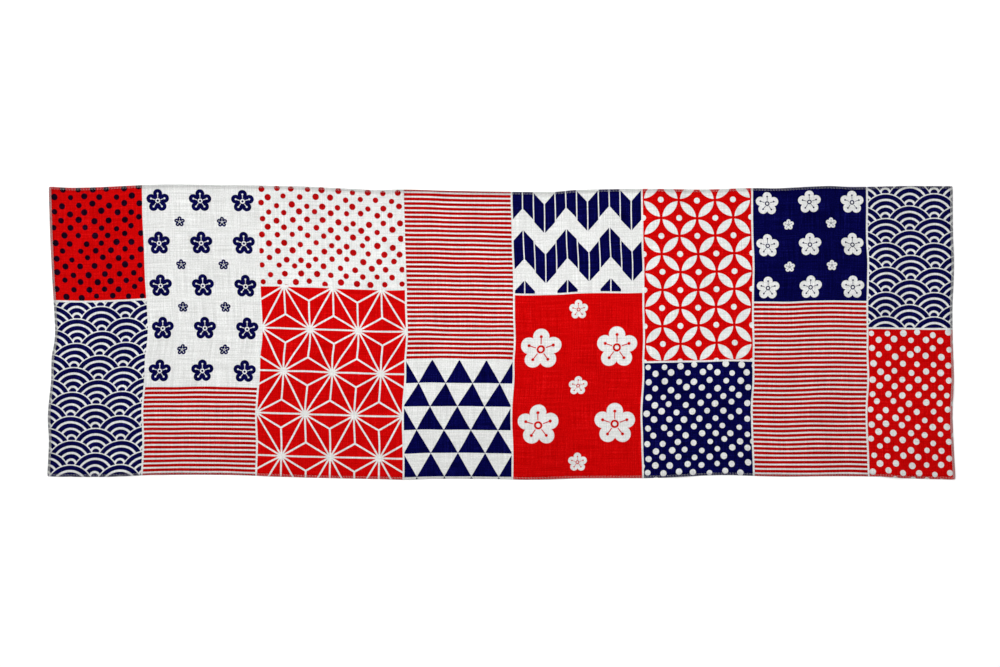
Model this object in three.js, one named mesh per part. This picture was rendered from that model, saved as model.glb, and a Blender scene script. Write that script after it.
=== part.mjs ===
// Tenugui towel: one length of thin printed cotton with a fine rolled hem on all four sides,
// spread flat on a surface. Millimetres, +X along the cloth, +Y across it, +Z up, with the
// origin on the surface under the middle of the outline.

import * as THREE from 'three';
import { mergeVertices } from 'three/addons/utils/BufferGeometryUtils.js';

// Driving dimensions
const CLOTH_LENGTH = 1000;
const CLOTH_WIDTH = 320;
const CLOTH_THICKNESS = 1.0;
const HEM_WIDTH = 2.5;
const HEM_SLOPE = 1.5;
const HEM_RISE = 0.4;

// Even cells of the sheet between its hems
const CELLS_ALONG = 76;
const CELLS_ACROSS = 24;

// How far each edge stands off its straight line, at places along it. "out" is measured
// towards +Y on the two long edges and towards +X on the two short ones.
const TOP_EDGE = [
	{ along: - 500, out: 0.9 },
	{ along: - 470, out: - 0.6 },
	{ along: - 385, out: 2.9 },
	{ along: - 350, out: 3.1 },
	{ along: - 219, out: 1.0 },
	{ along: - 136, out: - 3.0 },
	{ along: - 108, out: - 2.4 },
	{ along: - 53, out: - 3.9 },
	{ along: 58, out: - 5.1 },
	{ along: 85, out: - 2.9 },
	{ along: 168, out: - 1.7 },
	{ along: 224, out: - 2.4 },
	{ along: 279, out: - 0.8 },
	{ along: 307, out: - 1.1 },
	{ along: 362, out: 1.5 },
	{ along: 390, out: 0.4 },
	{ along: 445, out: 1.4 },
	{ along: 500, out: 1.3 },
];
const BOTTOM_EDGE = [
	{ along: - 500, out: 0.5 },
	{ along: - 440, out: 0.0 },
	{ along: - 385, out: 2.1 },
	{ along: - 300, out: 2.2 },
	{ along: - 219, out: - 0.6 },
	{ along: - 136, out: - 2.4 },
	{ along: - 108, out: - 3.0 },
	{ along: - 80, out: - 2.0 },
	{ along: 2, out: - 2.4 },
	{ along: 30, out: - 3.1 },
	{ along: 85, out: - 1.6 },
	{ along: 168, out: - 1.1 },
	{ along: 224, out: 1.6 },
	{ along: 251, out: 2.0 },
	{ along: 307, out: 0.5 },
	{ along: 362, out: 0.9 },
	{ along: 417, out: 0.4 },
	{ along: 445, out: - 1.4 },
	{ along: 500, out: - 3.0 },
];
const LEFT_EDGE = [
	{ along: - 160, out: - 2.0 },
	{ along: - 121, out: - 0.3 },
	{ along: - 95, out: - 1.3 },
	{ along: - 81, out: - 0.6 },
	{ along: - 55, out: 2.0 },
	{ along: - 28, out: 3.2 },
	{ along: - 15, out: 5.5 },
	{ along: - 2, out: 6.5 },
	{ along: 12, out: 6.1 },
	{ along: 52, out: 3.7 },
	{ along: 105, out: 1.1 },
	{ along: 160, out: - 0.5 },
];
const RIGHT_EDGE = [
	{ along: - 160, out: 2.0 },
	{ along: - 120, out: - 0.1 },
	{ along: - 83, out: - 1.3 },
	{ along: - 48, out: 0.2 },
	{ along: - 15, out: - 0.8 },
	{ along: 25, out: - 1.4 },
	{ along: 70, out: 0.2 },
	{ along: 105, out: - 0.8 },
	{ along: 160, out: - 1.2 },
];

// Soft ridges where the hem's thread has drawn the cloth in and it lifts off the surface.
// Each is highest at the edge it starts from and dies away at its reach into the cloth.
const PUCKERS = [
	{ edge: 'top', along: - 468, reach: 70, breadth: 26, height: 1.2 },
	{ edge: 'top', along: - 122, reach: 100, breadth: 26, height: 1.7 },
	{ edge: 'top', along: 74, reach: 130, breadth: 28, height: 2.2 },
	{ edge: 'top', along: 157, reach: 80, breadth: 24, height: 1.2 },
	{ edge: 'top', along: 262, reach: 80, breadth: 24, height: 1.4 },
	{ edge: 'top', along: 330, reach: 100, breadth: 26, height: 1.6 },
	{ edge: 'top', along: 398, reach: 80, breadth: 24, height: 1.3 },
	{ edge: 'bottom', along: - 412, reach: 80, breadth: 26, height: 1.3 },
	{ edge: 'bottom', along: - 255, reach: 70, breadth: 26, height: 1.0 },
	{ edge: 'bottom', along: - 96, reach: 90, breadth: 26, height: 1.6 },
	{ edge: 'bottom', along: 57, reach: 80, breadth: 26, height: 1.2 },
	{ edge: 'bottom', along: 196, reach: 120, breadth: 28, height: 2.0 },
	{ edge: 'bottom', along: 432, reach: 90, breadth: 26, height: 1.7 },
	{ edge: 'left', along: - 24, reach: 150, breadth: 26, height: 2.0 },
	{ edge: 'left', along: - 100, reach: 80, breadth: 24, height: 1.1 },
	{ edge: 'right', along: - 66, reach: 90, breadth: 26, height: 1.4 },
	{ edge: 'right', along: 88, reach: 70, breadth: 24, height: 1.1 },
];

// A smooth curve through an edge's rows
function edgeCurve( rows ) {

	const curve = new THREE.CubicInterpolant( rows.map( ( row ) => row.along ), rows.map( ( row ) => row.out ), 1 );
	return ( along ) => curve.evaluate( along )[ 0 ];

}

const topOut = edgeCurve( TOP_EDGE );
const bottomOut = edgeCurve( BOTTOM_EDGE );
const leftOut = edgeCurve( LEFT_EDGE );
const rightOut = edgeCurve( RIGHT_EDGE );

// Where a point of the straight rectangle lies once its four edges have their real outline
function placeOnOutline( x, y ) {

	const fromLeft = x / CLOTH_LENGTH + 0.5;
	const fromBottom = y / CLOTH_WIDTH + 0.5;
	return {
		x: x + THREE.MathUtils.lerp( leftOut( y ), rightOut( y ), fromLeft ),
		y: y + THREE.MathUtils.lerp( bottomOut( x ), topOut( x ), fromBottom ),
	};

}

// How far the cloth is lifted off the surface: zero wherever no pucker reaches
function liftOff( x, y ) {

	const inFrom = {
		top: CLOTH_WIDTH / 2 - y,
		bottom: CLOTH_WIDTH / 2 + y,
		left: CLOTH_LENGTH / 2 + x,
		right: CLOTH_LENGTH / 2 - x,
	};
	let lift = 0;
	for ( const pucker of PUCKERS ) {

		const place = ( pucker.edge === 'top' || pucker.edge === 'bottom' ) ? x : y;
		const across = Math.min( Math.abs( place - pucker.along ) / pucker.breadth, 1 );
		const inward = Math.min( inFrom[ pucker.edge ] / pucker.reach, 1 );
		lift += pucker.height * Math.cos( across * Math.PI / 2 ) ** 2 * Math.cos( inward * Math.PI / 2 ) ** 2;

	}

	return lift;

}

// The grid's lines over one span: two at each end that shape the hem, even cells between
function gridLines( span, cells ) {

	const half = span / 2;
	const inner = half - HEM_WIDTH - HEM_SLOPE;
	const lines = [ - half, - half + HEM_WIDTH ];
	for ( let i = 0; i <= cells; i ++ ) lines.push( - inner + 2 * inner * i / cells );
	lines.push( half - HEM_WIDTH, half );
	return lines;

}

// The cloth as one closed slab: a segmented box whose corners are moved to the grid's lines,
// the outline, the puckers and the thicker rim of the hem
function makeTowelCloth() {

	const linesAlong = gridLines( CLOTH_LENGTH, CELLS_ALONG );
	const linesAcross = gridLines( CLOTH_WIDTH, CELLS_ACROSS );
	const columns = linesAlong.length - 1;
	const rows = linesAcross.length - 1;

	const box = new THREE.BoxGeometry( columns, rows, 1, columns, rows, 1 );
	box.deleteAttribute( 'normal' );
	box.deleteAttribute( 'uv' );
	const slab = mergeVertices( box );

	const corners = slab.getAttribute( 'position' );
	for ( let i = 0; i < corners.count; i ++ ) {

		const column = Math.round( corners.getX( i ) + columns / 2 );
		const row = Math.round( corners.getY( i ) + rows / 2 );
		const x = linesAlong[ column ];
		const y = linesAcross[ row ];
		const onHem = column < 2 || row < 2 || column > columns - 2 || row > rows - 2;
		const isFace = corners.getZ( i ) > 0;
		const thickness = CLOTH_THICKNESS + ( onHem ? HEM_RISE : 0 );
		const place = placeOnOutline( x, y );
		corners.setXYZ( i, place.x, place.y, liftOff( x, y ) + ( isFace ? thickness : 0 ) );

	}

	slab.computeBoundingBox();
	const middle = slab.boundingBox.getCenter( new THREE.Vector3() );
	slab.translate( - middle.x, - middle.y, 0 );
	slab.computeVertexNormals();
	return slab;

}

const printedCotton = new THREE.MeshStandardMaterial( { color: 0xb8434a, roughness: 0.95, metalness: 0 } );

const towelCloth = new THREE.Mesh( makeTowelCloth(), printedCotton );
towelCloth.name = 'towel_cloth';

const towel = new THREE.Group();
towel.add( towelCloth );

export default towel;
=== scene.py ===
# A tenugui: a long, thin cotton hand towel with a fine rolled hem, spread flat and seen from above.
import math
from functools import reduce

import bmesh
import bpy
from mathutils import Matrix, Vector, noise


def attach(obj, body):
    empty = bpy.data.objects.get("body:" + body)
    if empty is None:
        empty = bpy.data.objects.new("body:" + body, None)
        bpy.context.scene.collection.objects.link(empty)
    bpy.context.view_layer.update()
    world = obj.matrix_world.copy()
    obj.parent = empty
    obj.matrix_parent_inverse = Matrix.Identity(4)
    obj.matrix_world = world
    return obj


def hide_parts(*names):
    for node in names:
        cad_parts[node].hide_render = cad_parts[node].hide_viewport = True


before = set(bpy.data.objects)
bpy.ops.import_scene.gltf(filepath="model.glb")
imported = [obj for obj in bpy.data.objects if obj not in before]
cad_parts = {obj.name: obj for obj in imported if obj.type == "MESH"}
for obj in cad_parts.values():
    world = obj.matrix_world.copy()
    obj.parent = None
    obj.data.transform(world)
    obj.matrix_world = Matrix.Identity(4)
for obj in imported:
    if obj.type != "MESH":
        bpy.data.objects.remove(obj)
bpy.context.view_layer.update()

MM = 0.001

# The camera hangs straight above the cloth on a long lens, so that its edges show no perspective.
# The view is 1106 mm wide, and its middle lies a little to the left of and below the cloth's.
VIEW_WIDTH = 1106 * MM
VIEW_MIDDLE = (-1.6 * MM, -1.5 * MM)
CAMERA_HEIGHT = 3.2
SENSOR_WIDTH = 36
FURTHEST_SEEN = 20

camera_data = bpy.data.cameras.new("overhead_camera")
camera_data.sensor_width = SENSOR_WIDTH
camera_data.lens = SENSOR_WIDTH * CAMERA_HEIGHT / VIEW_WIDTH
camera_data.clip_end = FURTHEST_SEEN
camera = bpy.data.objects.new("overhead_camera", camera_data)
camera.location = (*VIEW_MIDDLE, CAMERA_HEIGHT)
bpy.context.collection.objects.link(camera)
bpy.context.scene.camera = camera

# The surface under the cloth is a plain pale sheet, wide enough to fill any view of it.
FLOOR_SIZE = 12.0
FLOOR_COLOUR = (0.98, 0.98, 0.98, 1)
FLOOR_ROUGHNESS = 0.9
FLOOR_GLOSS = 0.2

bpy.ops.mesh.primitive_plane_add(size=FLOOR_SIZE)
floor = bpy.context.object
floor.name = "pale_floor"
floor_paint = bpy.data.materials.new("pale_floor")
floor_paint.use_nodes = True
floor_shader = floor_paint.node_tree.nodes["Principled BSDF"]
floor_shader.inputs["Base Color"].default_value = FLOOR_COLOUR
floor_shader.inputs["Roughness"].default_value = FLOOR_ROUGHNESS
floor_shader.inputs["Specular IOR Level"].default_value = FLOOR_GLOSS
floor.data.materials.append(floor_paint)

# Soft studio light: a white sky from all round, a broad lamp high beyond the cloth's far edge, a
# long narrow lamp over its upper middle, which is the brightest part, and a lamp low on the left,
# which picks out the puckers. Colours are shown plainly, as they are lit.
SKY_STRENGTH = 0.83
LAMPS = {
    # name: (place, what it points at, size along and across, spread in degrees, watts)
    "broad_lamp": ((-0.08, 0.55, 1.9), (0, 0, 0), (1.0, 1.0), 180, 11),
    "long_lamp": ((-0.06, 0.07, 1.2), (-0.06, 0.07, 0), (1.1, 0.14), 34, 0.4),
    "side_lamp": ((-2.2, 0.5, 0.9), (0, 0, 0), (0.8, 0.8), 180, 9),
}

sky = bpy.data.worlds.new("studio_sky")
sky.use_nodes = True
sky.node_tree.nodes["Background"].inputs["Color"].default_value = (1, 1, 1, 1)
sky.node_tree.nodes["Background"].inputs["Strength"].default_value = SKY_STRENGTH
bpy.context.scene.world = sky
bpy.context.scene.view_settings.view_transform = "Standard"
for lamp_name, (place, target, (along, across), spread, watts) in LAMPS.items():
    lamp_data = bpy.data.lights.new(lamp_name, "AREA")
    lamp_data.shape = "ELLIPSE"
    lamp_data.size, lamp_data.size_y = along, across
    lamp_data.spread = math.radians(spread)
    lamp_data.energy = watts
    lamp = bpy.data.objects.new(lamp_name, lamp_data)
    lamp.location = place
    lamp.rotation_euler = (Vector(target) - Vector(place)).to_track_quat("-Z", "Y").to_euler()
    lamp.visible_camera = False
    bpy.context.collection.objects.link(lamp)

# The cloth is one cut of thin plain-weave cotton. It is hemmed on all four sides by rolling its
# edge over in a narrow bead, so the finished towel is 1000 by 320 mm, and it lies with edges that
# wander by a few millimetres.
CLOTH_LENGTH = 1000
CLOTH_WIDTH = 320
CLOTH_THICKNESS = 0.45
FACE_HEIGHT = 0.5
CELLS_ALONG = 300
CELLS_ACROSS = 96

# How far each edge stands off its straight line, in millimetres: (along, out). "out" is towards
# +Y on the two long edges and towards +X on the two short ones.
TOP_EDGE = [
    (-500, 0.9), (-470, -0.6), (-385, 2.9), (-350, 3.1), (-219, 1.0), (-136, -3.0),
    (-108, -2.4), (-53, -3.9), (58, -5.1), (85, -2.9), (168, -1.7), (224, -2.4),
    (279, -0.8), (307, -1.1), (362, 1.5), (390, 0.4), (445, 1.4), (500, 1.3),
]
BOTTOM_EDGE = [
    (-500, 0.5), (-440, 0.0), (-385, 2.1), (-300, 2.2), (-219, -0.6), (-136, -2.4),
    (-108, -3.0), (-80, -2.0), (2, -2.4), (30, -3.1), (85, -1.6), (168, -1.1),
    (224, 1.6), (251, 2.0), (307, 0.5), (362, 0.9), (417, 0.4), (445, -1.4), (500, -3.0),
]
LEFT_EDGE = [
    (-160, -2.0), (-121, -0.3), (-95, -1.3), (-81, -0.6), (-55, 2.0), (-28, 3.2),
    (-15, 5.5), (-2, 6.5), (12, 6.1), (52, 3.7), (105, 1.1), (160, -0.5),
]
RIGHT_EDGE = [
    (-160, 2.0), (-120, -0.1), (-83, -1.3), (-48, 0.2), (-15, -0.8), (25, -1.4),
    (70, 0.2), (105, -0.8), (160, -1.2),
]

# Soft ridges where the hem's thread has drawn the cloth in, in millimetres: (edge, along, reach
# into the cloth, breadth, height).
PUCKERS = [
    ("top", -468, 70, 26, 1.2), ("top", -122, 100, 26, 1.7), ("top", 74, 130, 28, 2.2),
    ("top", 157, 80, 24, 1.2), ("top", 262, 80, 24, 1.4), ("top", 330, 100, 26, 1.6),
    ("top", 398, 80, 24, 1.3), ("bottom", -412, 80, 26, 1.3), ("bottom", -255, 70, 26, 1.0),
    ("bottom", -96, 90, 26, 1.6), ("bottom", 57, 80, 26, 1.2), ("bottom", 196, 120, 28, 2.0),
    ("bottom", 432, 90, 26, 1.7), ("left", -24, 150, 26, 2.0), ("left", -100, 80, 24, 1.1),
    ("right", -66, 90, 26, 1.4), ("right", 88, 70, 24, 1.1),
]

# The section of the rolled hem, from its seam outwards and round: (out, height), millimetres.
HEM_WIDTH = 2.0
HEM_ROLL = [
    (0, FACE_HEIGHT), (0.2, 0.72), (0.55, 1.04), (1.0, 1.22), (1.45, 1.14), (1.85, 0.88),
    (HEM_WIDTH, 0.56), (1.85, 0.26), (1.4, 0.06), (0.85, 0.05), (0.5, 0.22),
]
ROUNDED_CORNER = 0.85

# Faint waves all over the cloth, left by folding and washing: streaks across it and broad swells.
# Each has a layer of the noise to itself. Swells stand apart, and streaks run into each other.
STREAK_SIZE = (19, 130)
STREAK_HEIGHT = 0.34
STREAK_FILL = 0.5
STREAK_LAYER = 0
SWELL_SIZE = (90, 60)
SWELL_HEIGHT = 0.5
SWELL_LAYER = 7


def edge_curve(rows):
    """A smooth curve through an edge's rows: a cubic between each two, sloped by their neighbours."""
    def slope(i):
        before, after = rows[max(i - 1, 0)], rows[min(i + 1, len(rows) - 1)]
        return (after[1] - before[1]) / (after[0] - before[0])

    def out(along):
        i = max(j for j in range(len(rows) - 1) if j == 0 or rows[j][0] <= along)
        (start, start_out), (end, end_out) = rows[i], rows[i + 1]
        span = end - start
        t = (along - start) / span
        return (
            start_out * (1 + 2 * t) * (1 - t) ** 2
            + end_out * (3 - 2 * t) * t * t
            + span * (slope(i) * t * (1 - t) ** 2 - slope(i + 1) * t * t * (1 - t))
        )

    return out


top_out, bottom_out = edge_curve(TOP_EDGE), edge_curve(BOTTOM_EDGE)
left_out, right_out = edge_curve(LEFT_EDGE), edge_curve(RIGHT_EDGE)


def place_on_outline(x, y):
    """Where a point of the straight rectangle lies once its edges wander, in millimetres."""
    from_left, from_bottom = x / CLOTH_LENGTH + 0.5, y / CLOTH_WIDTH + 0.5
    return Vector((
        x + left_out(y) + (right_out(y) - left_out(y)) * from_left,
        y + bottom_out(x) + (top_out(x) - bottom_out(x)) * from_bottom,
    ))


def lift_off(x, y):
    """How far the cloth is lifted off the surface at a point of the straight rectangle."""
    inward = {
        "top": CLOTH_WIDTH / 2 - y,
        "bottom": CLOTH_WIDTH / 2 + y,
        "left": CLOTH_LENGTH / 2 + x,
        "right": CLOTH_LENGTH / 2 - x,
    }
    lift = 0
    for edge, along, reach, breadth, height in PUCKERS:
        across = min(abs((x if edge in ("top", "bottom") else y) - along) / breadth, 1)
        into = min(max(inward[edge], 0) / reach, 1)
        lift += height * (math.cos(across * math.pi / 2) * math.cos(into * math.pi / 2)) ** 2
    streak = noise.noise(Vector((x / STREAK_SIZE[0], y / STREAK_SIZE[1], STREAK_LAYER)))
    swell = noise.noise(Vector((x / SWELL_SIZE[0], y / SWELL_SIZE[1], SWELL_LAYER)))
    return lift + STREAK_HEIGHT * max(STREAK_FILL + streak, 0) + SWELL_HEIGHT * max(swell, 0)


seam_length = CLOTH_LENGTH - 2 * HEM_WIDTH
seam_width = CLOTH_WIDTH - 2 * HEM_WIDTH
rolled_in = sum(math.dist(a, b) for a, b in zip(HEM_ROLL, HEM_ROLL[1:]))
cut_length = seam_length + 2 * rolled_in
cut_width = seam_width + 2 * rolled_in


def off_cloth(x, y):
    """The way off the cloth from its seam, a little shorter at a corner, which rounds it."""
    slack = 0.01
    beside = (x > seam_length / 2 - slack) - (x < slack - seam_length / 2)
    above = (y > seam_width / 2 - slack) - (y < slack - seam_width / 2)
    return Vector((beside, above)) * (ROUNDED_CORNER if beside and above else 1)


# The flat of the towel starts as an even grid inside the hem's seam
sheet = bmesh.new()
bmesh.ops.create_grid(sheet, x_segments=CELLS_ALONG, y_segments=CELLS_ACROSS, size=0.5)
seam_place, cut_place = {}, {}
for vert in sheet.verts:
    x, y = vert.co.x * seam_length, vert.co.y * seam_width
    seam_place[vert] = cut_place[vert] = (x, y)
    vert.co = (*place_on_outline(x, y), FACE_HEIGHT + lift_off(x, y))

# Its rim is drawn out, over and under in steps, which rolls the hem
rim = [edge for edge in sheet.edges if edge.is_boundary]
drawn = 0
for (out, height), last in zip(HEM_ROLL[1:], HEM_ROLL):
    drawn += math.dist((out, height), last)
    inner = {vert for edge in rim for vert in edge.verts}
    made = bmesh.ops.extrude_edge_only(sheet, edges=rim)["geom"]
    rim = [part for part in made if isinstance(part, bmesh.types.BMEdge)]
    for vert in {vert for edge in rim for vert in edge.verts}:
        neighbours = [edge.other_vert(vert) for edge in vert.link_edges]
        source = next(other for other in neighbours if other in inner)
        x, y = seam_place[vert] = seam_place[source]
        way = off_cloth(x, y)
        cut_place[vert] = Vector((x, y)) + way * drawn
        vert.co = (*(place_on_outline(x, y) + way * out), height + lift_off(x, y))

# The print's own map keeps each point's place on the cut of cloth, from 0 to 1 each way
print_map = sheet.loops.layers.uv.new("print_map")
for face in sheet.faces:
    face.smooth = True
    for loop in face.loops:
        x, y = cut_place[loop.vert]
        loop[print_map].uv = (x / cut_length + 0.5, y / cut_width + 0.5)
bmesh.ops.scale(sheet, verts=sheet.verts, vec=(MM, MM, MM))
cloth_mesh = bpy.data.meshes.new("cotton_sheet")
sheet.to_mesh(cloth_mesh)
sheet.free()
cloth = bpy.data.objects.new("cotton_sheet", cloth_mesh)
bpy.context.collection.objects.link(cloth)
thickness = cloth.modifiers.new("cloth_thickness", "SOLIDIFY")
thickness.thickness = CLOTH_THICKNESS * MM
thickness.offset = -1
thickness.material_offset = 1

# The print is dyed in navy and two reds on bleached cotton, and navy over red is nearly black. It
# is a patchwork of traditional patterns, in eight columns of two blocks, with a bare line left
# between the blocks.
BARE_COTTON = (0.60, 0.605, 0.595, 1)
BRIGHT_RED = (0.46, 0.0002, 0.0004, 1)
DEEP_RED = (0.32, 0.0006, 0.0012, 1)
NAVY = (0.0002, 0.0002, 0.039, 1)
NAVY_OVER_RED = (0.0055, 0.0001, 0.0052, 1)
BARE_LINE = 2.0
SOFT_EDGE = 0.3
SHARP_EDGE = 0.01

# The right edge of each column but the last, and the height at which each column's blocks meet
COLUMN_EDGES = (-396, -270, -108, 12, 156, 278, 405)
MEETING_HEIGHTS = (34, -62, 50, -27.5, 46, -32, 33, 4)

# The lower and then the upper block of each column: (pattern, its scale, where the pattern
# starts along and across the towel, ground, figure)
BLOCKS = [
    ("waves", 1, -448, -160, BARE_COTTON, NAVY),
    ("beans", 1, -400.75, 38.75, BRIGHT_RED, NAVY_OVER_RED),
    ("pinstripes", 1, 0, -62, BARE_COTTON, DEEP_RED),
    ("blossoms", 1, -333, 48.5, BARE_COTTON, NAVY),
    ("hemp", 1, -189, 50, BRIGHT_RED, BARE_COTTON),
    ("beans", 1, -265.5, 55, BARE_COTTON, DEEP_RED),
    ("scales", 1, -93, -27.5, BARE_COTTON, NAVY),
    ("pinstripes", 1, 0, -27.5, BARE_COTTON, DEEP_RED),
    ("blossoms", 1.8, 41.7, -15, BRIGHT_RED, BARE_COTTON),
    ("arrows", 1, 12, 46, BARE_COTTON, NAVY),
    ("beans", 1, 161.75, -36.75, NAVY, BARE_COTTON),
    ("rings", 1, 217, -12, BRIGHT_RED, BARE_COTTON),
    ("pinstripes", 1, 0, 33, BARE_COTTON, DEEP_RED),
    ("blossoms", 1, 341.5, 96, NAVY, BARE_COTTON),
    ("beans", 1, 409.75, -0.75, BRIGHT_RED, BARE_COTTON),
    ("waves", 1, 452.5, 4, BARE_COTTON, NAVY),
]


class Field:
    """A number that varies over the cloth: a node's output, with sums that add maths nodes."""

    def __init__(self, socket):
        self.socket = socket

    def maths(self, operation, *others, clamp=False):
        tree = self.socket.id_data
        node = tree.nodes.new("ShaderNodeMath")
        node.operation = operation
        node.use_clamp = clamp
        for place, value in zip(node.inputs, (self, *others)):
            if isinstance(value, Field):
                tree.links.new(value.socket, place)
            else:
                place.default_value = value
        return Field(node.outputs["Value"])

    def __add__(self, other):
        return self.maths("ADD", other)

    def __sub__(self, other):
        return self.maths("SUBTRACT", other)

    def __mul__(self, other):
        return self.maths("MULTIPLY", other)

    def __truediv__(self, other):
        return self.maths("DIVIDE", other)

    def size(self):
        return self.maths("ABSOLUTE")

    def least(self, other):
        return self.maths("MINIMUM", other)

    def most(self, other):
        return self.maths("MAXIMUM", other)

    def past(self, limit):
        """1 where this is over a limit and 0 where it is not."""
        return self.maths("GREATER_THAN", limit)

    def odd(self):
        """1 where this whole number is odd and 0 where it is even."""
        return self.maths("FLOORED_MODULO", 2)

    def apart(self, spacing):
        """The distance to the nearest of lines that stand this far apart, one of them at 0."""
        return self.maths("PINGPONG", spacing / 2)

    def within(self, limit, soft=SOFT_EDGE):
        """1 where this distance is under a limit, with the soft edge that dye has on cotton."""
        return self.maths("MULTIPLY_ADD", -1 / soft, limit / soft + 0.5, clamp=True)

    def bare(self):
        """The other way round: 0 where this mask is 1."""
        return self.maths("MULTIPLY_ADD", -1, 1)


def distance(a, b):
    return (a * a + b * b).maths("SQRT")


def new_group(name, inputs, outputs):
    """A shader node group with named inputs and outputs, and its two end nodes."""
    group = bpy.data.node_groups.new(name, "ShaderNodeTree")
    for socket_name, kind in inputs:
        group.interface.new_socket(socket_name, in_out="INPUT", socket_type="NodeSocket" + kind)
    for socket_name, kind in outputs:
        group.interface.new_socket(socket_name, in_out="OUTPUT", socket_type="NodeSocket" + kind)
    return group, group.nodes.new("NodeGroupInput"), group.nodes.new("NodeGroupOutput")


def split(socket):
    """The three numbers of a colour or a vector."""
    node = socket.id_data.nodes.new("ShaderNodeSeparateXYZ")
    socket.id_data.links.new(socket, node.inputs["Vector"])
    return [Field(output) for output in node.outputs]


def three_by_chance(column, row):
    """Three numbers from 0 to 1 that are the same all over each cell of a grid."""
    tree = column.socket.id_data
    cell = tree.nodes.new("ShaderNodeCombineXYZ")
    tree.links.new(column.socket, cell.inputs["X"])
    tree.links.new(row.socket, cell.inputs["Y"])
    node = tree.nodes.new("ShaderNodeTexWhiteNoise")
    node.noise_dimensions = "2D"
    tree.links.new(cell.outputs["Vector"], node.inputs["Vector"])
    return split(node.outputs["Color"])


def waves(x, y, radius=27, ring=7.2, gap=1.2):
    """Seigaiha: fans of rings, each row half a fan on and in front of the row above it."""
    row = (y / (radius / 2)).maths("FLOOR")
    rise = y - row * (radius / 2)
    shifted = x - row.odd() * radius
    behind = distance(shifted.apart(2 * radius), rise)
    before = distance((shifted - radius).apart(2 * radius), rise + radius / 2)
    reach = behind + (before - behind) * before.within(radius, soft=SHARP_EDGE)
    return (reach - radius).apart(ring).within(gap).bare()


def hemp(x, y, side=54, line=0.95):
    """Asanoha: a lattice of triangles, each with three lines from its corners to its middle."""
    tall = side * math.sqrt(3)
    lines = []
    for turn in (0, 60, 120):
        cosine, sine = math.cos(math.radians(turn)), math.sin(math.radians(turn))
        lines.append((y * cosine - x * sine).apart(tall / 2))
        cosine, sine = math.cos(math.radians(turn + 30)), math.sin(math.radians(turn + 30))
        along, across = x * cosine + y * sine, y * cosine - x * sine
        line_shift = (across / (side / 2)).maths("ROUND").odd() * (tall / 2)
        beyond = ((along - line_shift).apart(tall) - side / math.sqrt(3)).most(0)
        lines.append(distance(across.apart(side / 2), beyond))
    return reduce(Field.least, lines).within(line)


def beans(x, y, pitch=12, radius=3.3, stray=3.0, growth=0.7):
    """Bean dots: rows of dots on the slant, each a little out of its place and size."""
    slant = pitch * math.sqrt(2)
    along, across = (x + y) / slant, (y - x) / slant
    column, row = along.maths("ROUND"), across.maths("ROUND")
    right, up, grown = three_by_chance(column, row)
    from_dot = distance(
        (along - column) * pitch + (right - 0.5) * stray,
        (across - row) * pitch + (up - 0.5) * stray,
    )
    return (from_dot + (grown - 0.5) * growth).within(radius)


def pinstripes(x, y, pitch=5, line=1.6):
    """Fine stripes along the towel."""
    return (y - pitch / 2).apart(pitch).within(line)


# A plum blossom's parts, as shares of its radius
PETALS = 5
PETAL_MIDDLE = 0.6
PETAL_RADIUS = 0.385
HEART_RADIUS = 0.4
STAMEN_MIDDLE = 0.4
STAMEN_REACH = 0.13
STAMEN_LINE = 0.025
STAMEN_TIP = 0.075
RING_RADIUS = 0.15
RING_LINE = 0.05


def blossom(x, y, spacing, radius):
    """Plum blossom: round petals on a round heart, with a bare ring and bare stamens."""
    x, y = x.maths("WRAP", spacing / 2, -spacing / 2), y.maths("WRAP", spacing / 2, -spacing / 2)
    reach = distance(x, y)
    turn = x.maths("ARCTAN2", y).apart(math.tau / PETALS)
    out, aside = reach * turn.maths("COSINE"), reach * turn.maths("SINE")
    from_petal = distance(out - PETAL_MIDDLE * radius, aside)
    from_heart = reach - HEART_RADIUS * radius
    petals = (from_petal - PETAL_RADIUS * radius).least(from_heart).within(0)
    past_stamen = (out - STAMEN_MIDDLE * radius).size() - STAMEN_REACH * radius
    stamen = aside.most(past_stamen).within(STAMEN_LINE * radius)
    tip = from_petal.within(STAMEN_TIP * radius)
    ring = (reach - RING_RADIUS * radius).size().within(RING_LINE * radius)
    return petals * stamen.most(tip).most(ring).bare()


def blossoms(x, y, spacing=47, great=13, small=6):
    """Plum blossoms of two sizes, in turn."""
    half = spacing / 2
    return blossom(x, y, spacing, great).most(blossom(x - half, y - half, spacing, small))


def scales(x, y, width=30, height=26):
    """Uroko: rows of triangles."""
    row = (y / height).maths("FLOOR")
    half = (x - row.odd() * (width / 2)).apart(width)
    return (half + (y / height - row) * (width / 2)).within(width / 2)


def arrows(x, y, width=24, feather=56, share=0.58, lean=1.1, shaft=0.6):
    """Yagasuri: arrow feathers side by side, pointing up and down in turn."""
    odd = (x / width).maths("FLOOR").odd()
    side = (x - width / 2).apart(width)
    step = y - side * lean * (odd * 2 - 1) + odd * (feather / 2)
    feathers = step.apart(feather).within(feather / 2 * share)
    return feathers * side.within(shaft).bare() * side.within(width / 2 - shaft)


def rings(x, y, radius=20, gap=1.4, dot=3.2):
    """Shippo: circles that overlap by a quarter, drawn as the petals they share and a dot."""
    here = distance(x.apart(2 * radius), y.apart(2 * radius))
    between = distance((x - radius).apart(2 * radius), (y - radius).apart(2 * radius))
    return here.most(between).within(radius - gap).most(here.least(between).within(dot))


def pattern_group(draw):
    """A pattern as a node group: from a place to 1 on the pattern's figure and 0 on its ground."""
    group, given, result = new_group(
        draw.__name__, [("Along", "Float"), ("Across", "Float")], [("Figure", "Float")]
    )
    figure = draw(Field(given.outputs["Along"]), Field(given.outputs["Across"]))
    group.links.new(figure.socket, result.inputs["Figure"])
    return group


PATTERNS = {draw.__name__: pattern_group(draw) for draw in (
    waves, hemp, beans, pinstripes, blossoms, scales, arrows, rings,
)}


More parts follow.
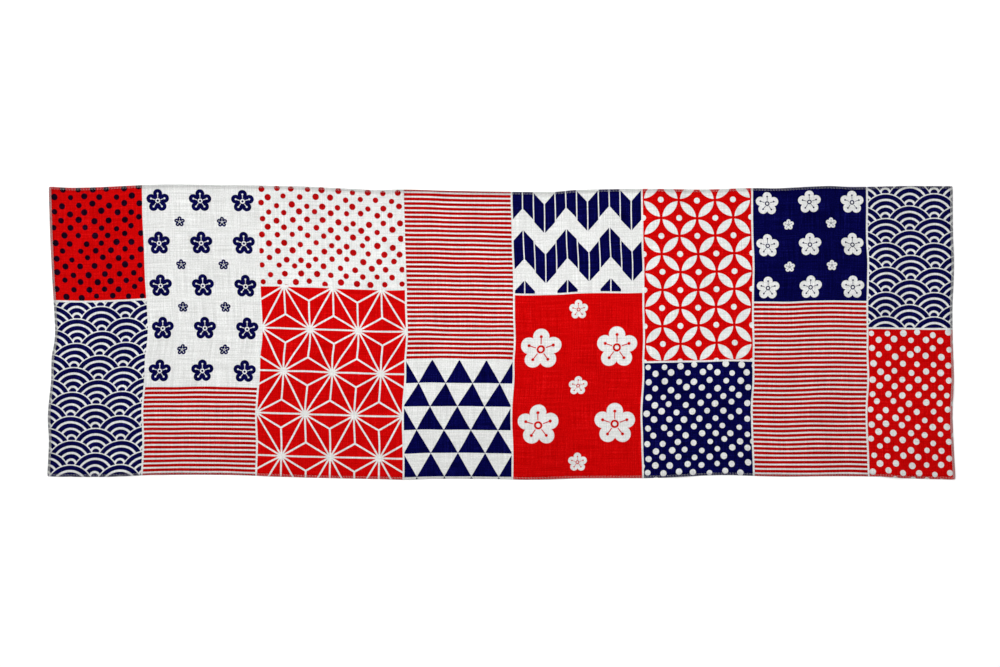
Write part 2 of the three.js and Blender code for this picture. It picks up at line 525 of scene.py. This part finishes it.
def by_block(block, colours):
    """One of a row of colours, picked by the block's number."""
    tree = block.socket.id_data
    node = tree.nodes.new("ShaderNodeValToRGB")
    stops = node.color_ramp.elements
    node.color_ramp.interpolation = "CONSTANT"
    stops.remove(stops[1])
    for i, colour in enumerate(colours):
        stop = stops.new(i / len(colours)) if i else stops[0]
        stop.color = colour
    tree.links.new(((block + 0.5) / len(colours)).socket, node.inputs["Fac"])
    return node.outputs["Color"]


def mixed(mask, first, second):
    """The first colour, or the second where a mask is 1. Each is a socket or a fixed colour."""
    tree = mask.socket.id_data
    node = tree.nodes.new("ShaderNodeMix")
    node.data_type = "RGBA"
    factor, first_place, second_place = [place for place in node.inputs if place.enabled]
    tree.links.new(mask.socket, factor)
    for place, colour in ((first_place, first), (second_place, second)):
        if isinstance(colour, bpy.types.NodeSocket):
            tree.links.new(colour, place)
        else:
            place.default_value = colour
    return next(output for output in node.outputs if output.enabled)


def noise_field(place, size, stretch=(1, 1), detail=0):
    """Smooth noise around 0.5 over a place in millimetres, with grains of about one size."""
    tree = place.id_data
    mapping = tree.nodes.new("ShaderNodeMapping")
    mapping.inputs["Scale"].default_value = (stretch[0] / size, stretch[1] / size, 1)
    tree.links.new(place, mapping.inputs["Vector"])
    node = tree.nodes.new("ShaderNodeTexNoise")
    node.noise_dimensions = "2D"
    node.inputs["Scale"].default_value = 1
    node.inputs["Detail"].default_value = detail
    tree.links.new(mapping.outputs["Vector"], node.inputs["Vector"])
    return node


# A block's start and scale are kept in a colour, whose numbers these ranges bring to between 0
# and 1
START_RANGE = 1200
SCALE_RANGE = 4

# How far the print's lines wander off true, each over its own length: first the whole drawing,
# then the dye along single threads
WANDERS = [(35, 0.9), (1.1, 0.13)]


def make_print():
    """The whole print as a group: from a place on the cloth in millimetres to its colour."""
    group, given, result = new_group("towel_print", [("Place", "Vector")], [("Colour", "Color")])
    place = given.outputs["Place"]
    x, y, _ = split(place)
    for length, amount in WANDERS:
        sway = split(noise_field(place, length).outputs["Color"])
        x, y = x + (sway[0] - 0.5) * amount, y + (sway[1] - 0.5) * amount

    column = reduce(Field.__add__, [x.past(edge) for edge in COLUMN_EDGES])
    steps = [
        x.past(edge) * (after - before)
        for edge, before, after in zip(COLUMN_EDGES, MEETING_HEIGHTS, MEETING_HEIGHTS[1:])
    ]
    above = y - (reduce(Field.__add__, steps) + MEETING_HEIGHTS[0])
    block = column * 2 + above.past(0)
    from_line = reduce(Field.least, [(x - edge).size() for edge in COLUMN_EDGES], above.size())

    starts = [
        (along / START_RANGE + 0.5, across / START_RANGE + 0.5, scale / SCALE_RANGE, 1)
        for _, scale, along, across, _, _ in BLOCKS
    ]
    start_x, start_y, scale = split(by_block(block, starts))
    scale = scale * SCALE_RANGE
    x = (x - (start_x - 0.5) * START_RANGE) / scale
    y = (y - (start_y - 0.5) * START_RANGE) / scale
    figures = []
    for name, pattern in PATTERNS.items():
        node = group.nodes.new("ShaderNodeGroup")
        node.node_tree = pattern
        group.links.new(x.socket, node.inputs["Along"])
        group.links.new(y.socket, node.inputs["Across"])
        worn = [(float(block_name == name),) * 3 + (1,) for block_name, *_ in BLOCKS]
        mask, _, _ = split(by_block(block, worn))
        figures.append(Field(node.outputs["Figure"]) * mask)
    ground_colour = by_block(block, [ground for *_, ground, _ in BLOCKS])
    figure_colour = by_block(block, [figure for *_, figure in BLOCKS])
    dyed = mixed(reduce(Field.__add__, figures), ground_colour, figure_colour)
    colour = mixed(from_line.within(BARE_LINE / 2), dyed, BARE_COTTON)
    group.links.new(colour, result.inputs["Colour"])
    return group


# The weave is plain, one thread over and one under, in cotton threads that sway and vary a
# little. A thread's height is 1 where it passes over another. Its unevenness is around 0.5.
THREAD_PITCH = 0.55
THREAD_SWAY = 0.25
SWAY_LENGTH = 3
HEIGHT_UNDER = 0.2
SLUB_WIDTH = 1.1
SLUB_STRETCH = 0.03
MOTTLE_SIZE = 1.4
UNEVEN_DETAIL = 1


def make_weave():
    """The weave as a group: from a place in millimetres to its threads' height and unevenness."""
    group, given, result = new_group(
        "plain_weave", [("Place", "Vector")], [("Height", "Float"), ("Unevenness", "Float")]
    )
    place = given.outputs["Place"]
    x, y, _ = split(place)
    sway = split(noise_field(place, SWAY_LENGTH).outputs["Color"])
    x, y = x + (sway[0] - 0.5) * THREAD_SWAY, y + (sway[1] - 0.5) * THREAD_SWAY
    turn = math.pi / THREAD_PITCH
    over = (x * turn).maths("COSINE") * (y * turn).maths("COSINE")
    middle, swing = (1 + HEIGHT_UNDER) / 2, (1 - HEIGHT_UNDER) / 2
    heights = []
    for aside, way in ((y, swing), (x, -swing)):
        from_thread = aside.apart(THREAD_PITCH) / (THREAD_PITCH / 2)
        heights.append((from_thread * from_thread).bare() * (over * way + middle))
    group.links.new(reduce(Field.most, heights).socket, result.inputs["Height"])
    along, across, mottle = [
        Field(noise_field(place, size, stretch, UNEVEN_DETAIL).outputs["Fac"])
        for size, stretch in (
            (SLUB_WIDTH, (SLUB_STRETCH, 1)), (SLUB_WIDTH, (1, SLUB_STRETCH)), (MOTTLE_SIZE, (1, 1)),
        )
    ]
    group.links.new(((along + across + mottle) / 3).socket, result.inputs["Unevenness"])
    return group


towel_print = make_print()
plain_weave = make_weave()


def placed_group(tree, group, place):
    """One of the groups above in a material's own tree, reading a place on the cloth."""
    node = tree.nodes.new("ShaderNodeGroup")
    node.node_tree = group
    tree.links.new(place, node.inputs["Place"])
    return node


# How far the cloth's colour varies: in broad clouds, with uneven threads, and with the dye that they
# take up; and how deep the painted shade is in the gaps between the threads and beside the hem's
# seam, which reaches a few millimetres either way
CLOUD_SIZE = 38
CLOUD_STRETCH = (1, 0.35)
CLOUD_DETAIL = 3
CLOUD_DEPTH = 0.16
UNEVEN_DEPTH = 0.5
DYE_DEPTH = 1.3
GAP_PAINTED_SHADE = 0.24
MEAN_HEIGHT = 0.75
HEM_PAINTED_SHADE = 0.2
HEM_PAINTED_SHADE_REACH = 3.5

# How high the threads, their unevenness and the fine creases stand, in millimetres
THREAD_RELIEF = 0.12
UNEVEN_RELIEF = 0.1
CREASE_SIZE = 7
CREASE_STRETCH = (1, 0.6)
CREASE_DETAIL = 3
CREASE_RELIEF = 0.35

# The cloth is matt, smoother on its threads' crowns than between them. The dye goes through to the
# back, where more bare cotton shows.
CROWN_ROUGHNESS = 0.85
GAP_ROUGHNESS = 0.95
COTTON_GLOSS = 0.01
COTTON_SHEEN = 0.04
SHEEN_ROUGHNESS = 0.4
FACE_PALENESS = 0.001
BACK_PALENESS = 0.3


def cotton_material(name, paleness):
    """Printed cotton with its dye, threads and creases, and a share of bare cotton showing."""
    material = bpy.data.materials.new(name)
    material.use_nodes = True
    tree = material.node_tree
    shader = tree.nodes["Principled BSDF"]
    shader.inputs["Specular IOR Level"].default_value = COTTON_GLOSS
    shader.inputs["Sheen Weight"].default_value = COTTON_SHEEN
    shader.inputs["Sheen Roughness"].default_value = SHEEN_ROUGHNESS
    uv = tree.nodes.new("ShaderNodeUVMap")
    uv.uv_map = "print_map"
    flat = tree.nodes.new("ShaderNodeMapping")
    flat.inputs["Location"].default_value = (-cut_length / 2, -cut_width / 2, 0)
    flat.inputs["Scale"].default_value = (cut_length, cut_width, 1)
    tree.links.new(uv.outputs["UV"], flat.inputs["Vector"])
    place = flat.outputs["Vector"]

    printed = placed_group(tree, towel_print, place)
    weave = placed_group(tree, plain_weave, place)
    height, unevenness = Field(weave.outputs["Height"]), Field(weave.outputs["Unevenness"])
    clouds = Field(noise_field(place, CLOUD_SIZE, CLOUD_STRETCH, CLOUD_DETAIL).outputs["Fac"])
    x, y, _ = split(place)
    past_seam = (x.size() - seam_length / 2).most(y.size() - seam_width / 2)
    # painted shade beside the hem's seam: darkest at the seam and gone a few millimetres either way,
    # standing in for the rolled hem's shadow
    painted_shade_by_seam = past_seam.size().maths("MULTIPLY_ADD", -1 / HEM_PAINTED_SHADE_REACH, 1, clamp=True)
    # the cloth's tone: random clouds and uneven threads, with painted shade in the gaps between
    # threads and beside the seam
    tone_and_painted_shade = (clouds - 0.5) * CLOUD_DEPTH + (unevenness - 0.5) * UNEVEN_DEPTH
    tone_and_painted_shade = tone_and_painted_shade + (height - MEAN_HEIGHT) * GAP_PAINTED_SHADE - painted_shade_by_seam * HEM_PAINTED_SHADE + 1

    colour = mixed(unevenness * (2 * paleness), printed.outputs["Colour"], BARE_COTTON)
    dye = tree.nodes.new("ShaderNodeGamma")
    tree.links.new(colour, dye.inputs["Color"])
    tree.links.new((unevenness * -DYE_DEPTH + (1 + DYE_DEPTH / 2)).socket, dye.inputs["Gamma"])
    shaded = tree.nodes.new("ShaderNodeVectorMath")
    shaded.operation = "SCALE"
    tree.links.new(dye.outputs["Color"], shaded.inputs["Vector"])
    tree.links.new(tone_and_painted_shade.socket, shaded.inputs["Scale"])
    tree.links.new(shaded.outputs["Vector"], shader.inputs["Base Color"])
    roughness = height * (CROWN_ROUGHNESS - GAP_ROUGHNESS) + GAP_ROUGHNESS
    tree.links.new(roughness.socket, shader.inputs["Roughness"])

    creases = Field(noise_field(place, CREASE_SIZE, CREASE_STRETCH, CREASE_DETAIL).outputs["Fac"])
    relief = height * THREAD_RELIEF + unevenness * UNEVEN_RELIEF + creases * CREASE_RELIEF
    bump = tree.nodes.new("ShaderNodeBump")
    bump.inputs["Distance"].default_value = MM
    tree.links.new(relief.socket, bump.inputs["Height"])
    tree.links.new(bump.outputs["Normal"], shader.inputs["Normal"])
    return material


cloth_mesh.materials.append(cotton_material("printed_cotton_face", FACE_PALENESS))
cloth_mesh.materials.append(cotton_material("printed_cotton_back", BACK_PALENESS))
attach(cloth, "root")
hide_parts("towel_cloth")

# The hem is overcast in a fine spun thread, more closely on the two short sides. Each stitch goes
# over the roll, from a row of needle stitches beside its seam to a chain round its outer edge. The
# sizes are in millimetres, and the paths are (out, height) from the seam, as the hem's section is.
LONG_SIDE_PITCH = 1.7
SHORT_SIDE_PITCH = 0.5
STITCH_LEAN = 0.5
LEAN_VARIES = 0.6
LEAN_LAYER = 3
CORNER_STITCHES = 3
THREAD_RADIUS = 0.105
CHAIN_SWAY = 0.1
STITCH_PATH = [
    (-0.4, 0.42), (-0.2, 0.62), (0.3, 0.95), (0.95, 1.33), (1.6, 1.22), (2.05, 0.8), (2.05, 0.24),
]
CHAIN_PATH = (2.12, 0.56)
NEEDLE_PATH = (-0.4, 0.52)
NEEDLE_STEPS = ((-0.27, -0.15), (0, 0.05), (0.27, -0.15))
THREAD_COLOUR = (0.5, 0.5, 0.49, 1)
# a darker copy of the thread's colour, painted as shade into the twist's furrows
THREAD_PAINTED_SHADE = (0.3, 0.3, 0.3, 1)
PAINTED_SHADE_SHARE = 0.5
TWIST_SCALE = 900
TWIST_DISTORTION = 2
TWIST_RELIEF = 0.05
THREAD_GLOSS = 0.2
THREAD_ROUGHNESS = 0.8


def rim_places():
    """All round the rim: a stitch's place on the straight seam, its way off the cloth, its pitch."""
    half_length, half_width = seam_length / 2, seam_width / 2
    for way, reach, other, pitch in (
        (Vector((0, 1)), half_length, half_width, LONG_SIDE_PITCH),
        (Vector((1, 0)), half_width, half_length, SHORT_SIDE_PITCH),
        (Vector((0, -1)), half_length, half_width, LONG_SIDE_PITCH),
        (Vector((-1, 0)), half_width, half_length, SHORT_SIDE_PITCH),
    ):
        onward = Vector((way.y, -way.x))
        count = round(2 * reach / pitch)
        for i in range(count):
            yield way * other + onward * ((i + 0.5) / count * 2 - 1) * reach, way, pitch
        for i in range(CORNER_STITCHES):
            turn = (i + 1) / (CORNER_STITCHES + 1) * math.pi / 2
            fanned = way * math.cos(turn) + onward * math.sin(turn)
            yield way * other + onward * reach, fanned, pitch


def beside_seam(seam, way, out, height, forward=0):
    """A point by the hem: so far out from the seam and on along it, at a height above the surface."""
    x, y = seam + Vector((way.y, -way.x)) * forward
    place = place_on_outline(x, y) + way * out
    return Vector((*place, height + lift_off(x, y))) * MM


def stitch_over(seam, way):
    """One overcast stitch, which leans along the hem by an amount that varies a little."""
    lean = STITCH_LEAN * (1 + LEAN_VARIES * noise.noise(Vector((*seam, LEAN_LAYER))))
    last = len(STITCH_PATH) - 1
    return [
        beside_seam(seam, way, out, height, lean * (step / last - 0.5))
        for step, (out, height) in enumerate(STITCH_PATH)
    ]


def thread_piece(name, runs, closed):
    """A piece of one mesh: thread along each of some runs of points."""
    curve = bpy.data.curves.new(name, "CURVE")
    curve.dimensions = "3D"
    curve.bevel_depth = THREAD_RADIUS * MM
    curve.bevel_resolution = 0
    curve.use_fill_caps = True
    for run in runs:
        spline = curve.splines.new("POLY")
        spline.points.add(len(run) - 1)
        spline.use_cyclic_u = closed
        for point, place in zip(spline.points, run):
            point.co = (*place, 1)
    shape = bpy.data.objects.new(name, curve)
    mesh = bpy.data.meshes.new_from_object(shape)
    bpy.data.objects.remove(shape)
    mesh.name = name
    for face in mesh.polygons:
        face.use_smooth = True
    piece = bpy.data.objects.new(name, mesh)
    bpy.context.collection.objects.link(piece)
    return piece


overcast_runs = [stitch_over(seam, way) for seam, way, _ in rim_places()]
chain_run = [
    beside_seam(seam, way, CHAIN_PATH[0], CHAIN_PATH[1] + sway)
    for seam, way, _ in rim_places()
    for sway in (-CHAIN_SWAY, CHAIN_SWAY)
]
needle_runs = [
    [
        beside_seam(seam, way, NEEDLE_PATH[0], NEEDLE_PATH[1] + rise, forward * pitch)
        for forward, rise in NEEDLE_STEPS
    ]
    for seam, way, pitch in rim_places()
]


def thread_material():
    """Spun thread: a fine slanting twist, with painted shade in its furrows."""
    material = bpy.data.materials.new("hem_thread")
    material.use_nodes = True
    tree = material.node_tree
    shader = tree.nodes["Principled BSDF"]
    shader.inputs["Specular IOR Level"].default_value = THREAD_GLOSS
    shader.inputs["Roughness"].default_value = THREAD_ROUGHNESS
    where = tree.nodes.new("ShaderNodeTexCoord")
    twist = tree.nodes.new("ShaderNodeTexWave")
    twist.bands_direction = "DIAGONAL"
    twist.inputs["Scale"].default_value = TWIST_SCALE
    twist.inputs["Distortion"].default_value = TWIST_DISTORTION
    tree.links.new(where.outputs["Object"], twist.inputs["Vector"])
    # painted shade: the twist's furrows are darkened by mixing in the darker thread colour
    furrow_shade = Field(twist.outputs["Fac"]).bare()
    colour = mixed(furrow_shade * PAINTED_SHADE_SHARE, THREAD_COLOUR, THREAD_PAINTED_SHADE)
    tree.links.new(colour, shader.inputs["Base Color"])
    bump = tree.nodes.new("ShaderNodeBump")
    bump.inputs["Distance"].default_value = TWIST_RELIEF * MM
    tree.links.new(twist.outputs["Fac"], bump.inputs["Height"])
    tree.links.new(bump.outputs["Normal"], shader.inputs["Normal"])
    return material


hem_thread = thread_material()
overcast = thread_piece("overcast_stitches", overcast_runs, closed=False)
chain = thread_piece("edge_chain", [chain_run], closed=True)
needle_line = thread_piece("needle_stitches", needle_runs, closed=False)
for piece in (overcast, chain, needle_line):
    piece.data.materials.append(hem_thread)
    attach(piece, "root")
